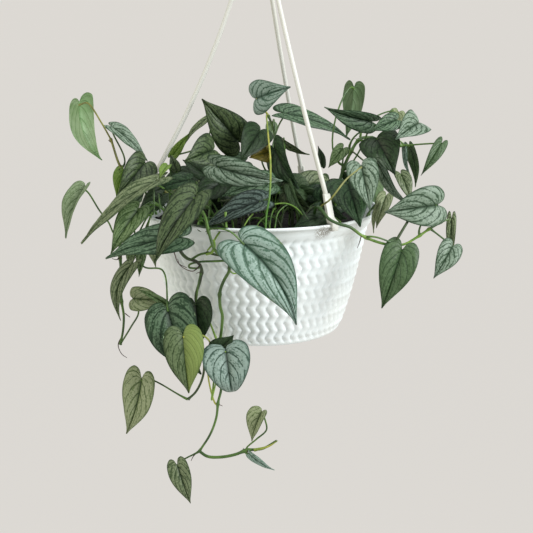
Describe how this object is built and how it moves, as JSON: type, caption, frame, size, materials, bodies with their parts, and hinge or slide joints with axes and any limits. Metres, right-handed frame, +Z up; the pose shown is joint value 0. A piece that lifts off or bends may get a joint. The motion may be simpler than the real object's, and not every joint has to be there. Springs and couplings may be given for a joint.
{
  "type": "potted silver leaf philodendron",
  "caption": "Trailing silver leaf philodendron in a white textured hanging pot, carried by three moulded arms under a hooked hub.",
  "frame": {"origin": "inside crown of the hook, the point the whole thing hangs from", "axes": "+Z up; -Y towards the side with the long front vine; +X to the right as seen from the front"},
  "size_m": [0.3882, 0.3347, 0.6263],
  "materials": {
    "white_plastic": "satin, embossed with upright rows of chevrons below a plain band",
    "soil": "crumbly dark potting mix",
    "stem": "smooth green, brown at the nodes",
    "leaf": "satin, silver between dark green veins"
  },
  "bodies": {
    "root": {"hanger_arm_back": "white_plastic", "hanger_arm_left": "white_plastic", "hanger_arm_right": "white_plastic", "hanger_hub": "white_plastic", "leaf_back_1": "leaf", "leaf_back_2": "leaf", "leaf_front_1": "leaf", "leaf_front_2": "leaf", "leaf_front_3": "leaf", "leaf_front_4": "leaf", "leaf_front_5": "leaf", "leaf_front_6": "leaf", "leaf_front_7": "leaf", "leaf_front_8": "leaf", "leaf_left_low_1": "leaf", "leaf_left_low_2": "leaf", "leaf_left_low_3": "leaf", "leaf_left_low_4": "leaf", "leaf_left_low_5": "leaf", "leaf_right_1": "leaf", "leaf_right_2": "leaf", "leaf_right_3": "leaf", "leaf_right_4": "leaf", "leaf_right_5": "leaf", "leaf_second_1": "leaf", "leaf_second_2": "leaf", "leaf_second_3": "leaf", "leaf_tall_left_1": "leaf", "leaf_tall_left_2": "leaf", "leaf_tall_left_3": "leaf", "leaf_tall_left_4": "leaf", "leaf_upper_left_1": "leaf", "leaf_upper_left_2": "leaf", "leaf_upper_left_3": "leaf", "leaf_upper_mid_1": "leaf", "leaf_upper_mid_2": "leaf", "leaf_upper_mid_3": "leaf", "leaf_upper_mid_4": "leaf", "leaf_upper_mid_5": "leaf", "leaf_upper_mid_6": "leaf", "leaf_upper_right_1": "leaf", "leaf_upper_right_2": "leaf", "leaf_upper_right_3": "leaf", "leaf_upper_right_4": "leaf", "leaf_upper_right_5": "leaf", "leaf_upper_right_6": "leaf", "leaf_upper_right_7": "leaf", "leaf_upper_right_8": "leaf", "leaf_upper_right_9": "leaf", "pot": "white_plastic", "soil": "soil", "vine_back": "stem", "vine_front": "stem", "vine_left_low": "stem", "vine_right": "stem", "vine_second": "stem", "vine_tall_left": "stem", "vine_upper_left": "stem", "vine_upper_mid": "stem", "vine_upper_right": "stem"}
  },
  "joints": []
}
